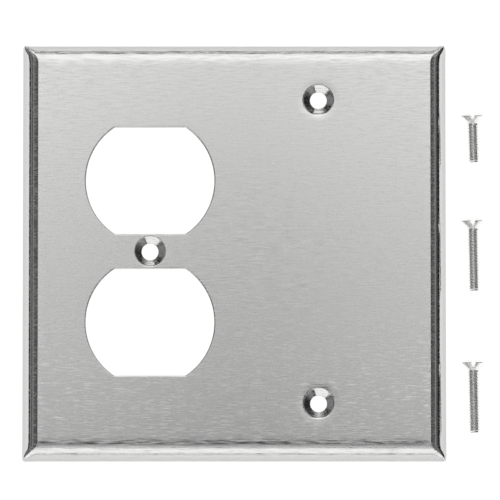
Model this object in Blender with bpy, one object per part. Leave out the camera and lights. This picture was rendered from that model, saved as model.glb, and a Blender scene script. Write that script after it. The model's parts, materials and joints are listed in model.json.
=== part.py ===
"""Two-gang stainless steel wall plate with its three slotted oval-head screws.

The left gang is open for a duplex receptacle, the right gang is blank. Everything lies on a
bench: the plate on its rim with its front face up, the screws on their sides beside it.
Lengths are in metres. The origin is the centre of the plate's rear face, +X runs to the
right and +Y to the top of the installed plate, and +Z comes out of the wall.
"""

import math

import bmesh
import bpy
from mathutils import Euler, Matrix, Vector

MM = 0.001

# Plate, pressed from one sheet
PLATE_WIDTH = 115.8 * MM
PLATE_HEIGHT = 114.3 * MM
PLATE_DEPTH = 5.5 * MM
SHEET = 0.8 * MM
BEND_RADIUS = 4.2 * MM
BEND_ANGLE = math.radians(73.5)
BEND_STEPS = 8
EDGE_CORNER_RADIUS = 0.85 * MM
FACE_CORNER_RADIUS = 0.6 * MM
CORNER_STEPS = 4

# Standard spacings of a two-gang plate
GANG_X = 23.0 * MM
RECEPTACLE_Y = 19.45 * MM
BLANK_HOLE_Y = 41.67 * MM

# Openings for the receptacle's two faces: circles with a flat above and below
OPENING_DIAMETER = 35.0 * MM
OPENING_FLATS = 29.2 * MM
OPENING_ARC_STEPS = 14

# Dimpled screw holes
HOLE_DIAMETER = 4.5 * MM
DIMPLE_DIAMETER = 8.4 * MM
COUNTERSINK_ANGLE = math.radians(82)
SHOULDER_RADIUS = 1.0 * MM
HOLE_LAND = 0.3 * MM
SHOULDER_STEPS = 3
DIMPLE_SEGMENTS = 32

# Screws, 6-32 UNC with an oval countersunk head
THREAD_PITCH = 25.4 * MM / 32
THREAD_RADIUS = 3.45 * MM / 2
THREAD_CREST = THREAD_PITCH / 8
THREAD_DEPTH = 0.55 * THREAD_PITCH
THREAD_FLANK = THREAD_DEPTH * math.tan(math.radians(30))
THREAD_SEGMENTS = 12
POINT_CHAMFER = 0.25 * MM
HEAD_RADIUS = 6.8 * MM / 2
HEAD_RIM = 0.15 * MM
DOME_HEIGHT = 1.1 * MM
DOME_STEPS = 4
NECK_RADIUS = 1.45 * MM
HEAD_SEGMENTS = 24
SLOT_WIDTH = 1.0 * MM
SLOT_DEPTH = 1.25 * MM

# Where the loose screws lie: name, length below the rim, middle of the screw, lean
SCREW_X = 65.4 * MM
SCREWS = (
    ("receptacle_screw", 12.70 * MM, 31.8 * MM, math.radians(1.8)),
    ("blank_screw_upper", 19.05 * MM, -0.4 * MM, math.radians(1.1)),
    ("blank_screw_lower", 19.05 * MM, -39.3 * MM, math.radians(1.1)),
)

FRONT_Z = SHEET
BENCH_Z = SHEET - PLATE_DEPTH
OVERCUT = 1.0 * MM


def clear_scene():
    for thing in list(bpy.data.objects):
        bpy.data.objects.remove(thing, do_unlink=True)


def metal(name, colour, roughness):
    """Bare metal as a Principled material."""
    material = bpy.data.materials.new(name)
    material.use_nodes = True
    shader = material.node_tree.nodes["Principled BSDF"]
    shader.inputs["Base Color"].default_value = (*colour, 1.0)
    shader.inputs["Roughness"].default_value = roughness
    shader.inputs["Metallic"].default_value = 1.0
    return material


def new_object(name, bm, smooth_angle=30):
    """Turns a bmesh into an object, shaded smooth between its sharp edges."""
    bmesh.ops.recalc_face_normals(bm, faces=bm.faces)
    mesh = bpy.data.meshes.new(name)
    bm.to_mesh(mesh)
    bm.free()
    mesh.shade_smooth()
    mesh.set_sharp_from_angle(angle=math.radians(smooth_angle))
    thing = bpy.data.objects.new(name, mesh)
    bpy.context.collection.objects.link(thing)
    return thing


def tool(name, bm):
    """An object that only cuts or joins another one."""
    thing = new_object(name, bm)
    thing.hide_render = True
    thing.display_type = "WIRE"
    return thing


def combine(target, other, operation):
    """Adds a Boolean of the other object to the target."""
    modifier = target.modifiers.new(other.name, "BOOLEAN")
    modifier.operation = operation
    modifier.solver = "EXACT"
    modifier.object = other


def add_prism(bm, outline, bottom, top):
    """Closed prism over a plane outline."""
    face = bm.faces.new([bm.verts.new((x, y, bottom)) for x, y in outline])
    raised = bmesh.ops.extrude_face_region(bm, geom=[face])["geom"]
    corners = [part for part in raised if isinstance(part, bmesh.types.BMVert)]
    bmesh.ops.translate(bm, verts=corners, vec=(0, 0, top - bottom))


def add_turned(bm, profile, segments, centre=(0, 0, 0)):
    """Closed solid turned about Z from (radius, z) points that start and end on the axis."""
    points = [bm.verts.new((radius, 0, z)) for radius, z in profile]
    edges = [bm.edges.new(pair) for pair in zip(points, points[1:])]
    bmesh.ops.spin(
        bm,
        geom=points + edges,
        cent=(0, 0, 0),
        axis=(0, 0, 1),
        angle=math.tau,
        steps=segments,
        use_duplicate=False,
    )
    new = [vert for vert in bm.verts if not vert.tag]
    bmesh.ops.remove_doubles(bm, verts=new, dist=0.001 * MM)
    new = [vert for vert in bm.verts if not vert.tag]
    bmesh.ops.translate(bm, verts=new, vec=centre)
    for vert in new:
        vert.tag = True


def rounded_rectangle(width, height, radius):
    """Outline with its round corners, counter-clockwise."""
    points = []
    for quarter, (side, up) in enumerate(((1, 1), (-1, 1), (-1, -1), (1, -1))):
        middle = Vector((side * (width / 2 - radius), up * (height / 2 - radius)))
        for step in range(CORNER_STEPS + 1):
            angle = math.radians(90) * (quarter + step / CORNER_STEPS)
            points.append(middle + radius * Vector((math.cos(angle), math.sin(angle))))
    return points


def rim_section(radius):
    """Bend and flange of one skin of the sheet, as (distance from the face's edge, z).

    The radius is the skin's own bend radius: BEND_RADIUS outside, less SHEET inside.
    """
    centre_z = FRONT_Z - BEND_RADIUS
    section = []
    for step in range(BEND_STEPS + 1):
        angle = BEND_ANGLE * step / BEND_STEPS
        section.append((radius * math.sin(angle), centre_z + radius * math.cos(angle)))
    out, z = section[-1]
    section.append((out + (z - BENCH_Z) / math.tan(BEND_ANGLE), BENCH_Z))
    return section


def sheet_shell():
    """The pressed sheet before it is pierced: a shallow tray, open towards the wall."""
    outer = rim_section(BEND_RADIUS)
    inner = rim_section(BEND_RADIUS - SHEET)
    rim_width = outer[-1][0]
    bm = bmesh.new()
    rings = []
    for out, z in outer + inner[::-1]:
        inset = rim_width - out
        share = max(0.0, inset / rim_width)
        radius = EDGE_CORNER_RADIUS + (FACE_CORNER_RADIUS - EDGE_CORNER_RADIUS) * share
        outline = rounded_rectangle(
            PLATE_WIDTH - 2 * inset, PLATE_HEIGHT - 2 * inset, radius
        )
        rings.append([bm.verts.new((x, y, z)) for x, y in outline])
    for ring, following in zip(rings, rings[1:]):
        for here in range(len(ring)):
            after = (here + 1) % len(ring)
            bm.faces.new((ring[here], ring[after], following[after], following[here]))
    bm.faces.new(rings[0])
    bm.faces.new(rings[-1])
    return bm


def dimple_section(offset):
    """Wall of a dimple at a depth of offset under the front, as (radius, z) downwards.

    The shoulder rolls over from the flat face into the countersink's cone.
    """
    slope = math.pi / 2 - COUNTERSINK_ANGLE / 2
    bend = SHOULDER_RADIUS - offset
    sharp = SHOULDER_RADIUS * math.tan(slope / 2)
    centre_radius = DIMPLE_DIAMETER / 2 + sharp
    centre_z = FRONT_Z - SHOULDER_RADIUS
    section = []
    for step in range(SHOULDER_STEPS + 1):
        angle = slope * step / SHOULDER_STEPS
        section.append((centre_radius - bend * math.sin(angle), centre_z + bend * math.cos(angle)))
    return section


def dimple_foot(section, radius):
    """Height at which the cone that follows a dimple section reaches a radius."""
    last_radius, last_z = section[-1]
    return last_z - (last_radius - radius) / math.tan(COUNTERSINK_ANGLE / 2)


def screw_holes():
    """Centres of the receptacle screw's hole and the two holes of the blank gang."""
    return ((-GANG_X, 0), (GANG_X, BLANK_HOLE_Y), (GANG_X, -BLANK_HOLE_Y))


def dimple_bosses():
    """Sheet that the dimples push out behind the plate, still solid."""
    wall = dimple_section(SHEET)
    foot_z = dimple_foot(dimple_section(0), HOLE_DIAMETER / 2) - HOLE_LAND
    foot_radius = wall[-1][0] - (wall[-1][1] - foot_z) * math.tan(COUNTERSINK_ANGLE / 2)
    root_radius = wall[0][0] + SHEET / 4
    profile = [(0, FRONT_Z - SHEET / 3), (root_radius, FRONT_Z - SHEET / 3)]
    profile += [(root_radius, FRONT_Z - SHEET / 2), *wall[1:]]
    profile += [(foot_radius, foot_z), (0, foot_z)]
    bm = bmesh.new()
    for x, y in screw_holes():
        add_turned(bm, profile, DIMPLE_SEGMENTS, (x, y, 0))
    return tool("dimple_bosses", bm)


def dimple_hollows():
    """Countersink and clearance hole of each dimple."""
    wall = dimple_section(0)
    hole_radius = HOLE_DIAMETER / 2
    bottom = BENCH_Z - OVERCUT
    profile = [(0, FRONT_Z + OVERCUT), (wall[0][0], FRONT_Z + OVERCUT), *wall]
    profile += [(hole_radius, dimple_foot(wall, hole_radius)), (hole_radius, bottom), (0, bottom)]
    bm = bmesh.new()
    for x, y in screw_holes():
        add_turned(bm, profile, DIMPLE_SEGMENTS, (x, y, 0))
    return tool("dimple_hollows", bm)


def receptacle_hollows():
    """The two openings for a duplex receptacle: each a circle with two flats."""
    radius = OPENING_DIAMETER / 2
    reach = math.asin(OPENING_FLATS / 2 / radius)
    bm = bmesh.new()
    for middle_y in (RECEPTACLE_Y, -RECEPTACLE_Y):
        outline = []
        for start in (-reach, math.pi - reach):
            for step in range(OPENING_ARC_STEPS + 1):
                angle = start + 2 * reach * step / OPENING_ARC_STEPS
                x = -GANG_X + radius * math.cos(angle)
                outline.append((x, middle_y + radius * math.sin(angle)))
        add_prism(bm, outline, -OVERCUT, FRONT_Z + OVERCUT)
    return tool("receptacle_hollows", bm)


def wall_plate():
    plate = new_object("wall_plate", sheet_shell())
    combine(plate, receptacle_hollows(), "DIFFERENCE")
    combine(plate, dimple_bosses(), "UNION")
    combine(plate, dimple_hollows(), "DIFFERENCE")
    plate.data.materials.append(metal("brushed_stainless", (0.62, 0.62, 0.61), 0.28))


def thread(length):
    """Right-hand thread about Z, longer than the screw at both ends, closed there."""
    root = THREAD_RADIUS - THREAD_DEPTH
    turn = (
        (THREAD_RADIUS, 0),
        (THREAD_RADIUS, THREAD_CREST),
        (root, THREAD_CREST + THREAD_FLANK),
        (root, THREAD_PITCH - THREAD_FLANK),
    )
    turns = math.ceil(length / THREAD_PITCH) + 3
    bottom = -length - 2 * THREAD_PITCH
    bm = bmesh.new()
    columns = []
    for segment in range(THREAD_SEGMENTS):
        share = segment / THREAD_SEGMENTS
        across = Vector((math.cos(math.tau * share), math.sin(math.tau * share), 0))
        column = []
        for count in range(turns):
            for radius, z in turn:
                rise = bottom + (count + share) * THREAD_PITCH + z
                column.append(bm.verts.new(radius * across + Vector((0, 0, rise))))
        columns.append(column)
    # The first column again, one turn further up, closes the helix
    shifted = columns[0][len(turn):]
    for left, right in zip(columns, columns[1:] + [shifted]):
        for (low_a, high_a), (low_b, high_b) in zip(zip(left, left[1:]), zip(right, right[1:])):
            bm.faces.new((low_a, low_b, high_b, high_a))
    for end_z in (bottom + THREAD_PITCH / 2, bottom + (turns + 0.5) * THREAD_PITCH):
        rim = [edge for edge in bm.edges if edge.is_boundary]
        rim = [edge for edge in rim if abs(edge.verts[0].co.z - end_z) < 2 * THREAD_PITCH]
        middle = bm.verts.new((0, 0, end_z))
        for edge in rim:
            bm.faces.new((*edge.verts, middle))
    return bm


def shank_envelope(length):
    """What the thread is trimmed to: a cylinder with a chamfered point."""
    wide = THREAD_RADIUS + OVERCUT
    top = -(HEAD_RADIUS - THREAD_RADIUS) / math.tan(COUNTERSINK_ANGLE / 2) + SHEET / 4
    point_radius = THREAD_RADIUS - POINT_CHAMFER
    profile = [(0, top), (wide, top), (wide, -length + POINT_CHAMFER + OVERCUT)]
    profile += [(point_radius, -length), (0, -length)]
    bm = bmesh.new()
    add_turned(bm, profile, HEAD_SEGMENTS)
    return bm


def oval_head():
    """Dome, rim and 82-degree cone of the head."""
    base = HEAD_RIM / 2
    rise = DOME_HEIGHT - base
    sphere = (HEAD_RADIUS**2 + rise**2) / (2 * rise)
    reach = math.asin(HEAD_RADIUS / sphere)
    profile = []
    for step in range(DOME_STEPS + 1):
        angle = reach * step / DOME_STEPS
        profile.append((sphere * math.sin(angle), DOME_HEIGHT - sphere * (1 - math.cos(angle))))
    cone = (HEAD_RADIUS - NECK_RADIUS) / math.tan(COUNTERSINK_ANGLE / 2)
    profile += [(HEAD_RADIUS, -base), (NECK_RADIUS, -base - cone), (0, -base - cone)]
    bm = bmesh.new()
    add_turned(bm, profile, HEAD_SEGMENTS)
    return bm


def driver_slot():
    """Slot for a flat screwdriver, along Y."""
    half = SLOT_WIDTH / 2
    reach = HEAD_RADIUS + OVERCUT
    outline = ((-half, -reach), (half, -reach), (half, reach), (-half, reach))
    bm = bmesh.new()
    add_prism(bm, outline, DOME_HEIGHT - SLOT_DEPTH, DOME_HEIGHT + OVERCUT)
    return bm


def lying_matrix(length, middle_y, lean):
    """Placement of a screw that rests on its head's rim and its point, head towards +Y.

    The screw's own origin is on its axis in the plane of the rim, its head towards +Z.
    """
    tilt = math.atan2(HEAD_RADIUS - THREAD_RADIUS, length)
    turn = Euler((tilt - math.pi / 2, 0, lean)).to_matrix().to_4x4()
    along = turn @ Vector((0, 0, 1))
    middle = Vector((SCREW_X, middle_y, 0))
    rim = middle + along * (length - DOME_HEIGHT) / 2
    rim.z = BENCH_Z + HEAD_RADIUS * math.cos(tilt)
    return Matrix.Translation(rim) @ turn


def loose_screw(name, length, middle_y, lean):
    screw = new_object(name, thread(length))
    operands = (
        ("shank", shank_envelope(length), "INTERSECT"),
        ("head", oval_head(), "UNION"),
        ("slot", driver_slot(), "DIFFERENCE"),
    )
    place = lying_matrix(length, middle_y, lean)
    screw.matrix_world = place
    for part, bm, operation in operands:
        other = tool(f"{name}_{part}", bm)
        other.matrix_world = place
        combine(screw, other, operation)
    screw.data.materials.append(metal(f"{name}_steel", (0.72, 0.72, 0.71), 0.16))


def main():
    clear_scene()
    wall_plate()
    for screw in SCREWS:
        loose_screw(*screw)


main()
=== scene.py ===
"""Looks of the two-gang stainless wall plate and its three screws, built around the CAD frame."""

import json
import math

import bmesh
import bpy
from mathutils import Matrix, Vector
from mathutils.geometry import delaunay_2d_cdt


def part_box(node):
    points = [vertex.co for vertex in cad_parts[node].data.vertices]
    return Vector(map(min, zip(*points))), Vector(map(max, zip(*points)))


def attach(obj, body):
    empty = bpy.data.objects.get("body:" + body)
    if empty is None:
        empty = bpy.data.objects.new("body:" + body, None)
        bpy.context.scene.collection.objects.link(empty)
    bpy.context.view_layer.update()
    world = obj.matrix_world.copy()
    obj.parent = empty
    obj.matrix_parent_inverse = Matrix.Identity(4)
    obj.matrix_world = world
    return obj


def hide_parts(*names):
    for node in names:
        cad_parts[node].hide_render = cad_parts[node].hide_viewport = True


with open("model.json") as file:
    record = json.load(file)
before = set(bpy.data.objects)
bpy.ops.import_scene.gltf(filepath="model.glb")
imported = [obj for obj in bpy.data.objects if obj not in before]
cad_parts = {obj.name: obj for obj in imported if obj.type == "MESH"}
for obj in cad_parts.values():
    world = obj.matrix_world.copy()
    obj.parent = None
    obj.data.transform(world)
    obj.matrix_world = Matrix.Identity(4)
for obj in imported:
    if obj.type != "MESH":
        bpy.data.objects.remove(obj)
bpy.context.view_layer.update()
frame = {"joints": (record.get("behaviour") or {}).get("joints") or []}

MM = 0.001
SHARP_ANGLE = math.radians(35)

# Plate, read from the frame where the frame says it
PLATE_LOW, PLATE_HIGH = (Vector(corner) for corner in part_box("wall_plate"))
BENCH_Z = PLATE_LOW.z
FRONT_Z = PLATE_HIGH.z
BACK_Z = 0.0
SHEET = FRONT_Z - BACK_Z
DEPTH = FRONT_Z - BENCH_Z
HALF_WIDTH = PLATE_HIGH.x
HALF_HEIGHT = PLATE_HIGH.y

# Rim: the bend along the sides, the drawn corners and the sheared edge
BEND_ANGLE = math.radians(73.5)
BEND_RADIUS = 4.2 * MM
CORNER_ANGLE = math.radians(87)
CORNER_KNEE = math.radians(40)
CORNER_BEND_RADIUS = 0.35 * MM
CORNER_REACH = 2.65 * MM
CORNER_FADE = 2.4
EASE_ANGLE = math.radians(3)
EASE_LENGTH = 2.2 * MM
EASE_STEPS = 8
KNEE_STEPS = 14
BEND_STEPS = 10
EDGE_CORNER_RADIUS = 0.85 * MM
FACE_CORNER_RADIUS = 0.5 * MM
CORNER_STEPS = 10
EDGE_ROUND = 0.18 * MM
EDGE_BREAK = 0.4 * EDGE_ROUND
EDGE_RISE = 0.35 * EDGE_ROUND
PLACING_ROUNDS = 6
NEAR_CORNER_STEPS = 12
NEAR_CORNER_SHARE = 0.14
NEAR_CORNER_CROWDING = 1.6
MIDDLE_SHARES = [0.3, 0.5, 0.7]

# Holes and openings
GANG_X = 23.0 * MM
RECEPTACLE_Y = 19.45 * MM
BLANK_HOLE_Y = 41.67 * MM
OPENING_RADIUS = 35.0 * MM / 2
OPENING_HALF_FLATS = 29.2 * MM / 2
OPENING_CORNER = 0.8 * MM
OPENING_ARC_STEPS = 48
OPENING_CORNER_STEPS = 8
OPENING_FLAT_STEPS = 8
PUNCH_ROLL = 0.42 * MM
PUNCH_SUPPORT = 0.43 * MM
PUNCH_STEPS = 5
PUNCH_BACK_BREAK = 0.04 * MM
HOLE_RADIUS = 4.5 * MM / 2
DIMPLE_RADIUS = 8.4 * MM / 2
DIMPLE_SLOPE = math.radians(36)
BLANK_SHOULDER = 1.0 * MM
BLANK_REACH = 6.3 * MM
RECEPTACLE_SHOULDER = 0.6 * MM
RECEPTACLE_REACH = 4.415 * MM
HOLE_LAND = 0.3 * MM
HOLE_LIP = 0.12 * MM
HOLE_LIP_HEIGHT = 1.4 * HOLE_LIP
HOLE_LIP_OUT = 0.3 * HOLE_LIP
HOLE_LIP_DOWN = 0.55 * HOLE_LIP
HOLE_BREAK = 0.05 * MM
SINK_SLOPE = 0.0254
SINK_STEPS = 8
SHOULDER_STEPS = 12
CONE_STEPS = 4
BACK_CONE_STEPS = 5
BACK_KNEE_STEPS = 6
BACK_LAND_SHARE = 0.85
BACK_KNEE_OUT = 0.2 * MM
BACK_KNEE_WIDTH = 0.55 * MM
BACK_KNEE_HEIGHT = 0.45 * MM
BACK_LAND_RISE = 0.03 * MM
BACK_SUPPORT = 0.05 * MM
DIMPLE_SEGMENTS = 96


def new_mesh_object(name, bm):
    """An object in the scene from a bmesh, smooth between its sharp edges."""
    bmesh.ops.recalc_face_normals(bm, faces=bm.faces)
    mesh = bpy.data.meshes.new(name)
    bm.to_mesh(mesh)
    bm.free()
    mesh.shade_smooth()
    mesh.set_sharp_from_angle(angle=SHARP_ANGLE)
    thing = bpy.data.objects.new(name, mesh)
    bpy.context.scene.collection.objects.link(thing)
    return thing


def bridge(bm, rings):
    """Quads between each closed ring of points and the next; returns the vertex rings."""
    made = [[bm.verts.new(point) for point in ring] for ring in rings]
    for ring, following in zip(made, made[1:]):
        for here in range(len(ring)):
            after = (here + 1) % len(ring)
            bm.faces.new((ring[here], ring[after], following[after], following[here]))
    return made


def circle(radius, z, segments, x=0.0, y=0.0):
    """Points round a level circle."""
    ring = []
    for step in range(segments):
        angle = math.tau * step / segments
        ring.append((x + radius * math.cos(angle), y + radius * math.sin(angle), z))
    return ring


def fill_plane(bm, outer, holes):
    """Triangles over a flat region between an outer ring of vertices and its convex holes."""
    loops = [outer] + holes
    verts = [vert for loop in loops for vert in loop]
    flat = [Vector((vert.co.x, vert.co.y)) for vert in verts]
    owner = [number for number, loop in enumerate(loops) for _ in loop]
    edges = []
    start = 0
    for loop in loops:
        count = len(loop)
        edges += [(start + here, start + (here + 1) % count) for here in range(count)]
        start += count
    _, _, triangles, origin, _, _ = delaunay_2d_cdt(flat, edges, [], 1, 1e-9)
    for triangle in triangles:
        corners = [origin[index][0] for index in triangle]
        owners = {owner[corner] for corner in corners}
        # A hole is convex, so a triangle with all its corners on one hole lies in it
        if len(owners) == 1 and owners != {0}:
            continue
        bm.faces.new([verts[corner] for corner in corners])


# ---------------------------------------------------------------- wall plate

def side_shares():
    """Where points go along a side: close together near its two ends."""
    near = []
    for step in range(1, NEAR_CORNER_STEPS + 1):
        near.append((step / NEAR_CORNER_STEPS) ** NEAR_CORNER_CROWDING * NEAR_CORNER_SHARE)
    return near + MIDDLE_SHARES + [1 - share for share in reversed(near)]


SIDE_SHARES = side_shares()


def rounded_rectangle(half_x, half_y, radius):
    """Points with their outward direction, counter-clockwise, denser near the corners."""
    points = []
    corners = ((1, 1), (-1, 1), (-1, -1), (1, -1))
    for quarter, (side, up) in enumerate(corners):
        middle = Vector((side * (half_x - radius), up * (half_y - radius)))
        for step in range(CORNER_STEPS + 1):
            angle = math.radians(90) * (quarter + step / CORNER_STEPS)
            normal = Vector((math.cos(angle), math.sin(angle)))
            points.append((middle + radius * normal, normal))
        last, normal = points[-1]
        next_side, next_up = corners[(quarter + 1) % 4]
        end = Vector((next_side * (half_x - radius), next_up * (half_y - radius))) + radius * normal
        for share in SIDE_SHARES:
            points.append((last.lerp(end, share), normal))
    return points


EASE_DROP = EASE_LENGTH * math.tan(EASE_ANGLE) / 3


def bend_width():
    """How far in from the rim's outer edge the bend starts, where the corners don't reach."""
    start = math.sin(EASE_ANGLE)
    drop = DEPTH - EASE_DROP - BEND_RADIUS * (math.cos(EASE_ANGLE) - math.cos(BEND_ANGLE))
    return BEND_RADIUS * (math.sin(BEND_ANGLE) - start) + drop / math.tan(BEND_ANGLE)


BEND_WIDTH = bend_width()


def outer_section(blend):
    """Outer skin of the rim as (inset, z), from the start of the bend to the flange's foot.

    The sheet turns on one radius along the sides (blend 0). At a drawn corner (blend 1) it
    slopes down gently as far as a tight bend, which ends in a nearly upright flange.
    """
    angle = BEND_ANGLE + (CORNER_ANGLE - BEND_ANGLE) * blend
    tight = BEND_RADIUS + (CORNER_BEND_RADIUS - BEND_RADIUS) * blend
    sin_ease, cos_ease = math.sin(EASE_ANGLE), math.cos(EASE_ANGLE)
    sin_knee, cos_knee = math.sin(CORNER_KNEE), math.cos(CORNER_KNEE)
    sin_end, cos_end = math.sin(angle), math.cos(angle)
    per_drop = 1 / math.tan(angle)
    rest = BEND_WIDTH - (DEPTH - EASE_DROP) * per_drop
    rest -= tight * (sin_end - sin_knee - (cos_knee - cos_end) * per_drop)
    gentle = rest / (sin_knee - sin_ease - (cos_ease - cos_knee) * per_drop)
    section = []
    top = FRONT_Z - EASE_DROP
    for step in range(KNEE_STEPS + 1):
        slope = EASE_ANGLE + (CORNER_KNEE - EASE_ANGLE) * step / KNEE_STEPS
        inset = BEND_WIDTH - gentle * (math.sin(slope) - sin_ease)
        section.append((inset, top - gentle * (cos_ease - math.cos(slope))))
    knee_inset, knee_z = section[-1]
    for step in range(1, BEND_STEPS + 1):
        slope = CORNER_KNEE + (angle - CORNER_KNEE) * step / BEND_STEPS
        inset = knee_inset - tight * (math.sin(slope) - sin_knee)
        section.append((inset, knee_z - tight * (cos_knee - math.cos(slope))))
    inset, z = section[-1]
    foot = BENCH_Z + EDGE_ROUND
    section.append((inset - (z - foot) * per_drop, foot))
    return section


def inner_section():
    """Inner skin of the rim as (inset, z), from the start of the bend to the flange's foot."""
    radius = BEND_RADIUS - SHEET
    centre = BEND_WIDTH + BEND_RADIUS * math.sin(EASE_ANGLE)
    section = []
    for step in range(BEND_STEPS + 1):
        slope = BEND_ANGLE * step / BEND_STEPS
        inset = centre - radius * math.sin(slope)
        section.append((inset, BACK_Z - radius * (1 - math.cos(slope))))
    inset, z = section[-1]
    foot = BENCH_Z + EDGE_ROUND
    section.append((inset - (z - foot) / math.tan(BEND_ANGLE), foot))
    return section


def rim_profile(blend):
    """Whole section of the rim, from the front face over the edge to the back face."""
    front = []
    for step in range(EASE_STEPS + 1):
        share = step / EASE_STEPS
        front.append((BEND_WIDTH + EASE_LENGTH * (1 - share), FRONT_Z - EASE_DROP * share**3))
    outer = outer_section(blend)
    inner = inner_section()
    out_inset, _ = outer[-1]
    in_inset, _ = inner[-1]
    # Both corners of the sheared edge are broken; the outer one keeps some of the flange's lean
    edge = [
        (out_inset - 0.25 * EDGE_ROUND + 0.3 * EDGE_BREAK, BENCH_Z + EDGE_RISE),
        (out_inset + EDGE_BREAK, BENCH_Z),
        (in_inset - EDGE_BREAK, BENCH_Z),
        (in_inset - 0.2 * EDGE_BREAK, BENCH_Z + EDGE_RISE),
    ]
    back = (inner[0][0] + EASE_LENGTH, BACK_Z)
    return front + outer[1:] + edge + inner[::-1] + [back]


def rim_point(point, normal, index, inset):
    """Where the rim's section goes at one point of its outline, nearer the edge at a corner."""
    place = point
    z = 0.0
    for _ in range(PLACING_ROUNDS):
        from_corner = max(HALF_WIDTH - abs(place.x), HALF_HEIGHT - abs(place.y))
        blend = math.exp(-((from_corner / CORNER_REACH) ** CORNER_FADE))
        local_inset, z = rim_profile(blend)[index]
        shift = (inset - local_inset) / max(abs(normal.x), abs(normal.y))
        place = point + shift * normal
    return place.x, place.y, z


def rim_rings():
    """The rim's section carried round the plate."""
    plain = rim_profile(0.0)
    widest = max(inset for inset, _ in plain)
    rings = []
    for index, (inset, _) in enumerate(plain):
        share = inset / widest
        radius = EDGE_CORNER_RADIUS + (FACE_CORNER_RADIUS - EDGE_CORNER_RADIUS) * share
        outline = rounded_rectangle(HALF_WIDTH - inset, HALF_HEIGHT - inset, radius)
        rings.append([rim_point(point, normal, index, inset) for point, normal in outline])
    return rings


def arc(centre, radius, start, end, steps):
    """Points along an arc, both ends included."""
    points = []
    for step in range(steps + 1):
        angle = start + (end - start) * step / steps
        points.append(Vector(centre) + radius * Vector((math.cos(angle), math.sin(angle))))
    return points


def opening_outline(offset):
    """Receptacle opening grown by offset: two arcs and two flats with small round corners."""
    radius = OPENING_RADIUS + offset
    flat = OPENING_HALF_FLATS + offset
    corner = OPENING_CORNER + offset
    centre_y = flat - corner
    centre_x = math.sqrt((radius - corner) ** 2 - centre_y**2)
    start = math.atan2(centre_y, centre_x)
    quarter = math.pi / 2
    half = arc((0, 0), radius, -start, start, OPENING_ARC_STEPS)
    half += arc((centre_x, centre_y), corner, start, quarter, OPENING_CORNER_STEPS)[1:]
    for step in range(1, OPENING_FLAT_STEPS):
        half.append(Vector((centre_x * (1 - 2 * step / OPENING_FLAT_STEPS), flat)))
    half += arc((-centre_x, centre_y), corner, quarter, math.pi - start, OPENING_CORNER_STEPS)[:-1]
    return half + [-point for point in half]


def opening_rings(middle_y):
    """Punched edge of an opening, from the front face to the back face.

    The punch rolls the front edge over. The back edge has only a tiny chamfer.
    """
    section = [(PUNCH_SUPPORT, FRONT_Z)]
    for step in range(PUNCH_STEPS + 1):
        angle = math.radians(90) * step / PUNCH_STEPS
        drop = PUNCH_ROLL * (1 - math.cos(angle))
        section.append((PUNCH_ROLL * (1 - math.sin(angle)), FRONT_Z - drop))
    section += [(0.0, BACK_Z + PUNCH_BACK_BREAK), (PUNCH_BACK_BREAK, BACK_Z)]
    rings = []
    for offset, z in section:
        outline = opening_outline(offset)
        rings.append([(point.x - GANG_X, point.y + middle_y, z) for point in outline])
    return rings


def part_way(start, end, share):
    """The point a share of the way along the line between two (radius, z) points."""
    radius, z = start
    end_radius, end_z = end
    return radius + (end_radius - radius) * share, z + (end_z - z) * share


def dimple_mouth(reach, shoulder):
    """Front of a dimple: the sheet sinks a little, in step with the room, then rolls over."""
    centre_radius = DIMPLE_RADIUS + shoulder * math.tan(DIMPLE_SLOPE / 2)
    sink = SINK_SLOPE * (reach - centre_radius)
    mouth = [(reach, 0.0)]
    for step in range(1, SINK_STEPS):
        share = step / SINK_STEPS
        mouth.append((reach + (centre_radius - reach) * share, -sink * share**2))
    for step in range(SHOULDER_STEPS + 1):
        angle = DIMPLE_SLOPE * step / SHOULDER_STEPS
        radius = centre_radius - shoulder * math.sin(angle)
        mouth.append((radius, -sink - shoulder * (1 - math.cos(angle))))
    return mouth


def dimple_cone(top):
    """Straight wall from the shoulder to the hole, the lip that rounds it, and the bore."""
    radius, z = top
    foot_radius = HOLE_RADIUS + HOLE_LIP
    foot_z = z - (radius - foot_radius) * math.tan(DIMPLE_SLOPE)
    cone = [part_way(top, (foot_radius, foot_z), step / CONE_STEPS) for step in range(1, CONE_STEPS + 1)]
    bore_top = foot_z - HOLE_LIP_HEIGHT
    bottom = bore_top - HOLE_LAND
    # One point between the foot of the wall and the top of the bore rounds the lip
    cone.append((HOLE_RADIUS + HOLE_LIP_OUT, foot_z - HOLE_LIP_DOWN))
    cone.append((HOLE_RADIUS, bore_top))
    cone.append((HOLE_RADIUS, bottom + HOLE_BREAK))
    cone.append((HOLE_RADIUS + HOLE_BREAK, bottom))
    return cone


def dimple_back(bottom, shoulder):
    """Back of a dimple: the land round the hole, the cone, and the bend into the back face."""
    centre_radius = DIMPLE_RADIUS + shoulder * math.tan(DIMPLE_SLOPE / 2)
    land = (HOLE_RADIUS + BACK_LAND_SHARE * SHEET / math.sin(DIMPLE_SLOPE), bottom)
    knee_radius = centre_radius + BACK_KNEE_OUT
    top_radius = knee_radius - BACK_KNEE_WIDTH
    top_z = -SHEET - BACK_KNEE_HEIGHT
    back = [(land[0], bottom + BACK_LAND_RISE)]
    for step in range(1, BACK_CONE_STEPS):
        back.append(part_way(land, (top_radius, top_z), step / BACK_CONE_STEPS))
    for step in range(BACK_KNEE_STEPS + 1):
        share = step / BACK_KNEE_STEPS
        bend = math.sin(share * math.pi / 2)
        back.append((top_radius + BACK_KNEE_WIDTH * share, top_z + BACK_KNEE_HEIGHT * bend))
    back.append((knee_radius + BACK_SUPPORT, -SHEET))
    return back


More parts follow.
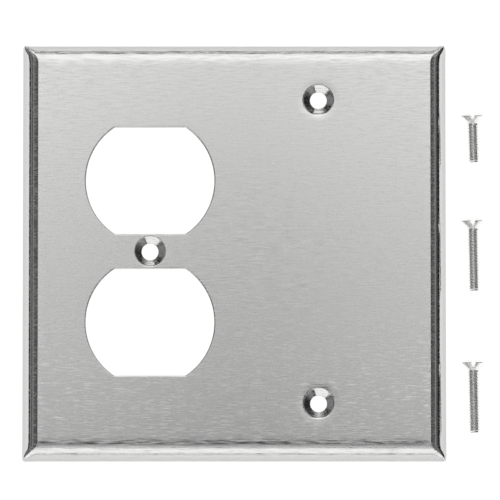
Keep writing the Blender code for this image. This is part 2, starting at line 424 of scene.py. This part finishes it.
def dimple_rings(x, y, reach, shoulder):
    """Pressed screw hole, from the front face through the hole to the back face."""
    mouth = dimple_mouth(reach, shoulder)
    cone = dimple_cone(mouth[-1])
    profile = mouth + cone + dimple_back(cone[-1][1], shoulder)
    return [circle(radius, FRONT_Z + z, DIMPLE_SEGMENTS, x, y) for radius, z in profile]


def wall_plate():
    bm = bmesh.new()
    rim = bridge(bm, rim_rings())
    features = [
        bridge(bm, opening_rings(RECEPTACLE_Y)),
        bridge(bm, opening_rings(-RECEPTACLE_Y)),
        bridge(bm, dimple_rings(-GANG_X, 0, RECEPTACLE_REACH, RECEPTACLE_SHOULDER)),
        bridge(bm, dimple_rings(GANG_X, BLANK_HOLE_Y, BLANK_REACH, BLANK_SHOULDER)),
        bridge(bm, dimple_rings(GANG_X, -BLANK_HOLE_Y, BLANK_REACH, BLANK_SHOULDER)),
    ]
    fill_plane(bm, rim[0], [rings[0] for rings in features])
    fill_plane(bm, rim[-1], [rings[-1] for rings in features])
    return new_mesh_object("wall_plate_sheet", bm)


# ---------------------------------------------------------------- screws

THREAD_PITCH = 25.4 * MM / 32
THREAD_RADIUS = 3.45 * MM / 2
THREAD_DEPTH = 0.55 * THREAD_PITCH
THREAD_SEGMENTS = 64
THREAD_ROUND = 0.024 * MM
THREAD_ROUND_RISE = 0.014 * MM
CREST_ROUND_RISE = 0.02 * MM
ROOT_ROUND_RISE = 0.05 * MM
HEAD_RADIUS = 6.8 * MM / 2
HEAD_RIM = 0.15 * MM
DOME_HEIGHT = 1.1 * MM
NECK_RADIUS = 1.45 * MM
COUNTERSINK_HALF_ANGLE = math.radians(41)
DOME_STEPS = 16
HEAD_SEGMENTS = 96
SLOT_WIDTH = 1.0 * MM
SLOT_DEPTH = 1.25 * MM
SLOT_EDGE = 0.05 * MM
POINT_CHAMFER = 0.2 * MM
SHANK_OVERLAP = 0.2 * MM
TRIM_MARGIN = 1.0 * MM
SCREW_LENGTHS = {
    "receptacle_screw": 12.70 * MM,
    "blank_screw_upper": 19.05 * MM,
    "blank_screw_lower": 19.05 * MM,
}


def thread_turn():
    """One pitch of the thread as (radius, z): round crest, 60 degree flanks, round root."""
    crest = THREAD_RADIUS
    root = THREAD_RADIUS - THREAD_DEPTH
    half_crest = THREAD_PITCH / 16
    shoulder = half_crest + THREAD_ROUND_RISE
    foot = shoulder + (THREAD_DEPTH - 2 * THREAD_ROUND) * math.tan(math.radians(30))
    return (
        (crest - THREAD_ROUND, -shoulder),
        (crest, -half_crest + CREST_ROUND_RISE),
        (crest, half_crest - CREST_ROUND_RISE),
        (crest - THREAD_ROUND, shoulder),
        (root + THREAD_ROUND, foot),
        (root, foot + ROOT_ROUND_RISE),
        (root, THREAD_PITCH - foot - ROOT_ROUND_RISE),
        (root + THREAD_ROUND, THREAD_PITCH - foot),
    )


def thread_mesh(length):
    """Right-hand thread about Z, longer than the screw at both ends, closed there."""
    turn = thread_turn()
    turns = math.ceil(length / THREAD_PITCH) + 3
    bottom = -length - 2 * THREAD_PITCH
    bm = bmesh.new()
    columns = []
    for segment in range(THREAD_SEGMENTS):
        share = segment / THREAD_SEGMENTS
        across = Vector((math.cos(math.tau * share), math.sin(math.tau * share), 0))
        column = []
        for count in range(turns):
            for radius, z in turn:
                rise = bottom + (count + share) * THREAD_PITCH + z
                column.append(bm.verts.new(radius * across + Vector((0, 0, rise))))
        columns.append(column)
    shifted = columns[0][len(turn):]
    for left, right in zip(columns, columns[1:] + [shifted]):
        for (low_a, high_a), (low_b, high_b) in zip(zip(left, left[1:]), zip(right, right[1:])):
            bm.faces.new((low_a, low_b, high_b, high_a))
    for end_z in (bottom + THREAD_PITCH / 2, bottom + (turns + 0.5) * THREAD_PITCH):
        rim = [edge for edge in bm.edges if edge.is_boundary]
        rim = [edge for edge in rim if abs(edge.verts[0].co.z - end_z) < 2 * THREAD_PITCH]
        middle = bm.verts.new((0, 0, end_z))
        for edge in rim:
            bm.faces.new((*edge.verts, middle))
    return bm


def turned_mesh(profile, segments):
    """Closed solid turned about Z from (radius, z) points that start and end on the axis."""
    bm = bmesh.new()
    first = bm.verts.new((0, 0, profile[0][1]))
    last = bm.verts.new((0, 0, profile[-1][1]))
    made = bridge(bm, [circle(radius, z, segments) for radius, z in profile[1:-1]])
    for pole, ring in ((first, made[0]), (last, made[-1])):
        for here in range(segments):
            bm.faces.new((pole, ring[here], ring[(here + 1) % segments]))
    return bm


def head_profile():
    """Oval head as (radius, z): a dome, a narrow rim and the countersink's cone."""
    base = HEAD_RIM / 2
    rise = DOME_HEIGHT - base
    sphere = (HEAD_RADIUS**2 + rise**2) / (2 * rise)
    reach = math.asin(HEAD_RADIUS / sphere)
    profile = []
    for step in range(DOME_STEPS + 1):
        angle = reach * step / DOME_STEPS
        profile.append((sphere * math.sin(angle), DOME_HEIGHT - sphere * (1 - math.cos(angle))))
    cone = (HEAD_RADIUS - NECK_RADIUS) / math.tan(COUNTERSINK_HALF_ANGLE)
    profile += [(HEAD_RADIUS, -base), (NECK_RADIUS, -base - cone), (0, -base - cone)]
    return profile


def shank_profile(length):
    """What the thread is trimmed to: a cylinder inside the head's cone, with a chamfered point."""
    wide = THREAD_RADIUS + TRIM_MARGIN
    top = -(HEAD_RADIUS - THREAD_RADIUS) / math.tan(COUNTERSINK_HALF_ANGLE) + SHANK_OVERLAP
    return [
        (0, top),
        (wide, top),
        (wide, -length + POINT_CHAMFER + TRIM_MARGIN),
        (THREAD_RADIUS - POINT_CHAMFER, -length),
        (0, -length),
    ]


def slot_mesh():
    """Block that cuts the screwdriver slot, along Y and past the head on every open side."""
    half = SLOT_WIDTH / 2
    reach = HEAD_RADIUS + TRIM_MARGIN
    floor_z = DOME_HEIGHT - SLOT_DEPTH
    roof_z = 2 * MM
    bm = bmesh.new()
    corners = ((-half, -reach), (half, -reach), (half, reach), (-half, reach))
    rings = bridge(bm, [[(x, y, z) for x, y in corners] for z in (floor_z, roof_z)])
    for ring in rings:
        bm.faces.new(ring)
    return bm


def boolean(target, other, operation):
    modifier = target.modifiers.new(other.name, "BOOLEAN")
    modifier.operation = operation
    modifier.solver = "EXACT"
    modifier.object = other


def settle(thing, helpers):
    """Applies an object's modifiers, then removes the helper objects."""
    depsgraph = bpy.context.evaluated_depsgraph_get()
    mesh = bpy.data.meshes.new_from_object(thing.evaluated_get(depsgraph))
    thing.modifiers.clear()
    thing.data = mesh
    for helper in helpers:
        bpy.data.objects.remove(helper, do_unlink=True)


def screw_head():
    """Oval head with its slot and a small round on every edge."""
    head = new_mesh_object("head", turned_mesh(head_profile(), HEAD_SEGMENTS))
    slot = new_mesh_object("slot", slot_mesh())
    boolean(head, slot, "DIFFERENCE")
    round_edges = head.modifiers.new("round", "BEVEL")
    round_edges.width = SLOT_EDGE
    round_edges.segments = 3
    round_edges.limit_method = "ANGLE"
    round_edges.angle_limit = math.radians(30)
    settle(head, (slot,))
    return head


def screw_place(joint):
    """The screw's own axes in the world: Z out of the head, slot along Y."""
    along = Vector(joint["axis"]).normalized()
    down = Vector((0, 0, -1))
    slot = (down - along * down.dot(along)).normalized()
    turn = Matrix((slot.cross(along), slot, along)).transposed().to_4x4()
    return Matrix.Translation(joint["pos_m"]) @ turn


def screw(name, length, head):
    piece = new_mesh_object(f"{name}_steel", thread_mesh(length))
    envelope = new_mesh_object("envelope", turned_mesh(shank_profile(length), HEAD_SEGMENTS))
    boolean(piece, envelope, "INTERSECT")
    boolean(piece, head, "UNION")
    settle(piece, (envelope,))
    joint = next(joint for joint in frame["joints"] if joint["child"] == name)
    piece.data.transform(screw_place(joint))
    piece.data.shade_smooth()
    piece.data.set_sharp_from_angle(angle=SHARP_ANGLE)
    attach(piece, name)
    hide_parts(name)
    return piece


# ---------------------------------------------------------------- materials

def new_material(name):
    material = bpy.data.materials.new(name)
    material.use_nodes = True
    tree = material.node_tree
    return material, tree.nodes, tree.links, tree.nodes["Principled BSDF"]


def stretched_noise(nodes, links, coords, scale, detail):
    """Noise on object coordinates; scale is in cycles per metre along each axis."""
    mapping = nodes.new("ShaderNodeMapping")
    mapping.inputs["Scale"].default_value = scale
    noise = nodes.new("ShaderNodeTexNoise")
    noise.inputs["Scale"].default_value = 1.0
    noise.inputs["Detail"].default_value = detail
    noise.inputs["Roughness"].default_value = 0.6
    links.new(coords, mapping.inputs["Vector"])
    links.new(mapping.outputs["Vector"], noise.inputs["Vector"])
    return noise.outputs["Fac"]


def ranged(nodes, links, value, low, high, to_low, to_high):
    """Maps a value from one range to another."""
    node = nodes.new("ShaderNodeMapRange")
    node.inputs["From Min"].default_value = low
    node.inputs["From Max"].default_value = high
    node.inputs["To Min"].default_value = to_low
    node.inputs["To Max"].default_value = to_high
    links.new(value, node.inputs["Value"])
    return node.outputs["Result"]


def bump(nodes, links, height, strength, distance):
    """Bump node for a height; distance is the relief in metres."""
    node = nodes.new("ShaderNodeBump")
    node.inputs["Strength"].default_value = strength
    node.inputs["Distance"].default_value = distance
    links.new(height, node.inputs["Height"])
    return node


def brushed_stainless():
    """Sheet brushed along X: fine parallel scratches with an anisotropic gloss."""
    material, nodes, links, shader = new_material("brushed_stainless")
    shader.inputs["Base Color"].default_value = (0.66, 0.66, 0.655, 1)
    shader.inputs["Metallic"].default_value = 1.0
    shader.inputs["Anisotropic"].default_value = 0.9
    shader.inputs["Specular Tint"].default_value = (0.78, 0.78, 0.78, 1)
    coords = nodes.new("ShaderNodeTexCoord").outputs["Object"]
    fine = stretched_noise(nodes, links, coords, (300, 4600, 4600), 2)
    coarse = stretched_noise(nodes, links, coords, (240, 2400, 2400), 1.6)
    roughness = ranged(nodes, links, coarse, 0.33, 0.67, 0.07, 0.3)
    links.new(roughness, shader.inputs["Roughness"])
    grain = bump(nodes, links, fine, 1.0, 0.004 * MM)
    streaks = bump(nodes, links, coarse, 1.0, 0.008 * MM)
    links.new(grain.outputs["Normal"], streaks.inputs["Normal"])
    links.new(streaks.outputs["Normal"], shader.inputs["Normal"])
    across = nodes.new("ShaderNodeCombineXYZ")
    across.inputs["Y"].default_value = 1.0
    links.new(across.outputs["Vector"], shader.inputs["Tangent"])
    return material


def bright_steel():
    """Polished screw steel with faint turning marks."""
    material, nodes, links, shader = new_material("bright_steel")
    shader.inputs["Base Color"].default_value = (0.93, 0.93, 0.92, 1)
    shader.inputs["Metallic"].default_value = 1.0
    coords = nodes.new("ShaderNodeTexCoord").outputs["Object"]
    marks = stretched_noise(nodes, links, coords, (900, 900, 2600), 3)
    roughness = ranged(nodes, links, marks, 0.3, 0.7, 0.2, 0.32)
    links.new(roughness, shader.inputs["Roughness"])
    relief = bump(nodes, links, marks, 0.3, 0.01 * MM)
    links.new(relief.outputs["Normal"], shader.inputs["Normal"])
    return material


# ---------------------------------------------------------------- studio

CAMERA_DISTANCE = 2.45
CAMERA_TILT = math.radians(6.4)
VIEW_WIDTH = 136.5 * MM
SENSOR = 36.0
AIM = Vector((4.3 * MM, 0.35 * MM, FRONT_Z))
FLOOR_SIDE = 6.0
FLOOR_GLOW = 0.88
OVERHEAD_Z = 0.5
OVERHEAD_LOW = -0.36
OVERHEAD_HIGH = 1.2
OVERHEAD_HALF_WIDTH = 0.18
OVERHEAD_COLUMNS = 40
OVERHEAD_ROWS = 200
OVERHEAD_DIP = 0.24
DIP_CENTRE_Y = 0.02
DIP_LENGTH = 0.11
DIP_WIDTH = 0.048
# Radiance of the overhead softbox along Y: place, level
OVERHEAD_STOPS = (
    (-0.36, 1.20),
    (-0.30, 0.75),
    (-0.22, 0.38),
    (-0.12, 0.38),
    (-0.09, 0.08),
    (-0.02, 0.08),
    (-0.005, 1.15),
    (0.01, 1.15),
    (0.035, 0.66),
    (0.10, 1.02),
    (0.165, 1.30),
    (0.40, 1.38),
)
# Area lights, all facing the plate: name, centre, height, length, radiance
SOFTBOXES = (
    ("low_softbox", (-0.2, -0.72, 0.42), 0.72, 1.1, 1.28),
    ("back_softbox", (0, 0.95, 0.19), 0.09, 0.7, 1.3),
    ("left_panel", (-0.8, 0, 0.78), 1.0, 1.6, 0.09),
    ("left_strip", (-0.85, 0, 0.66), 0.16, 1.6, 0.18),
    ("left_low_panel", (-1.05, 0, 0.34), 0.16, 1.4, 0.26),
    ("right_panel", (0.8, 0, 0.78), 1.0, 1.6, 0.09),
    ("right_strip", (0.85, 0, 0.66), 0.16, 1.6, 0.22),
    ("front_right_fill", (0.75, -0.75, 0.8), 0.6, 0.7, 0.5),
    ("back_right_fill", (0.75, 0.75, 0.8), 0.6, 0.7, 0.5),
    ("back_left_fill", (-0.75, 0.75, 0.8), 0.6, 0.7, 0.5),
    ("front_right_low_fill", (0.75, -0.75, 0.25), 0.35, 0.5, 0.22),
)


def softbox(name, centre, height, length, radiance):
    """Soft rectangular light that faces the plate, its length level."""
    light = bpy.data.lights.new(name, "AREA")
    light.shape = "RECTANGLE"
    light.size = length
    light.size_y = height
    light.energy = radiance * math.pi * height * length
    lamp = bpy.data.objects.new(name, light)
    bpy.context.scene.collection.objects.link(lamp)
    lamp.location = centre
    lamp.rotation_euler = Vector(centre).to_track_quat("Z", "Y").to_euler()
    lamp.visible_camera = False


def ramp(value, stops):
    """Straight-line interpolation between (value, level) stops."""
    if value <= stops[0][0]:
        return stops[0][1]
    for (low, low_level), (high, high_level) in zip(stops, stops[1:]):
        if value <= high:
            return low_level + (high_level - low_level) * (value - low) / (high - low)
    return stops[-1][1]


def overhead_level(x, y):
    """Radiance of the overhead softbox: its stops along Y, less a dip near the middle."""
    along = math.exp(-((y - DIP_CENTRE_Y) / DIP_LENGTH) ** 2)
    across = math.exp(-((x / DIP_WIDTH) ** 2))
    return ramp(y, OVERHEAD_STOPS) * (1 - OVERHEAD_DIP * along * across)


def overhead_mesh():
    """Level grid with the softbox's radiance in its colour attribute."""
    bm = bmesh.new()
    glow = bm.loops.layers.float_color.new("glow")
    columns = []
    for step in range(OVERHEAD_COLUMNS + 1):
        columns.append(OVERHEAD_HALF_WIDTH * (2 * step / OVERHEAD_COLUMNS - 1))
    rows = []
    for step in range(OVERHEAD_ROWS + 1):
        rows.append(OVERHEAD_LOW + (OVERHEAD_HIGH - OVERHEAD_LOW) * step / OVERHEAD_ROWS)
    grid = [[bm.verts.new((x, y, OVERHEAD_Z)) for x in columns] for y in rows]
    for low, high in zip(grid, grid[1:]):
        for index in range(OVERHEAD_COLUMNS):
            face = bm.faces.new((low[index], high[index], high[index + 1], low[index + 1]))
            for loop in face.loops:
                level = overhead_level(loop.vert.co.x, loop.vert.co.y)
                loop[glow] = (level, level, level, 1)
    mesh = bpy.data.meshes.new("overhead_softbox")
    bm.to_mesh(mesh)
    bm.free()
    return mesh


def glow_material():
    """Emission as strong as the mesh's own colour attribute says."""
    material = bpy.data.materials.new("softbox")
    material.use_nodes = True
    nodes = material.node_tree.nodes
    links = material.node_tree.links
    nodes.clear()
    level = nodes.new("ShaderNodeVertexColor")
    level.layer_name = "glow"
    emission = nodes.new("ShaderNodeEmission")
    output = nodes.new("ShaderNodeOutputMaterial")
    links.new(level.outputs["Color"], emission.inputs["Color"])
    links.new(emission.outputs["Emission"], output.inputs["Surface"])
    return material


def overhead_softbox():
    mesh = overhead_mesh()
    mesh.materials.append(glow_material())
    card = bpy.data.objects.new("overhead_softbox", mesh)
    bpy.context.scene.collection.objects.link(card)
    card.visible_camera = False


def bench_top():
    """Plain white surface that the plate and the screws lie on."""
    bm = bmesh.new()
    half = FLOOR_SIDE / 2
    corners = ((-half, -half), (half, -half), (half, half), (-half, half))
    bm.faces.new([bm.verts.new((x, y, BENCH_Z)) for x, y in corners])
    floor = new_mesh_object("bench_top", bm)
    material, _, _, shader = new_material("white_bench")
    shader.inputs["Base Color"].default_value = (0.35, 0.35, 0.35, 1)
    shader.inputs["Roughness"].default_value = 0.7
    shader.inputs["Specular IOR Level"].default_value = 0.0
    shader.inputs["Emission Color"].default_value = (1, 1, 1, 1)
    shader.inputs["Emission Strength"].default_value = FLOOR_GLOW
    floor.data.materials.append(material)


def dim_world():
    world = bpy.data.worlds.new("studio")
    bpy.context.scene.world = world
    world.use_nodes = True
    world.node_tree.nodes["Background"].inputs["Color"].default_value = (0.02, 0.02, 0.02, 1)


def studio():
    bench_top()
    dim_world()
    overhead_softbox()
    for name, centre, height, length, radiance in SOFTBOXES:
        softbox(name, centre, height, length, radiance)
    view = bpy.context.scene.view_settings
    view.view_transform = "Standard"
    view.look = "None"


def camera():
    data = bpy.data.cameras.new("camera")
    data.sensor_width = SENSOR
    data.lens = SENSOR * CAMERA_DISTANCE / VIEW_WIDTH
    data.clip_start = 0.05
    data.clip_end = 20.0
    eye = bpy.data.objects.new("camera", data)
    bpy.context.scene.collection.objects.link(eye)
    back = Vector((0, -math.sin(CAMERA_TILT), math.cos(CAMERA_TILT)))
    eye.location = AIM + back * CAMERA_DISTANCE
    eye.rotation_mode = "QUATERNION"
    eye.rotation_quaternion = (-back).to_track_quat("-Z", "Y")
    bpy.context.scene.camera = eye


def main():
    plate = wall_plate()
    plate.data.materials.append(brushed_stainless())
    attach(plate, "plate")
    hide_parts("wall_plate")
    steel = bright_steel()
    head = screw_head()
    for name, length in SCREW_LENGTHS.items():
        piece = screw(name, length, head)
        piece.data.materials.clear()
        piece.data.materials.append(steel)
    bpy.data.objects.remove(head, do_unlink=True)
    studio()
    camera()


main()
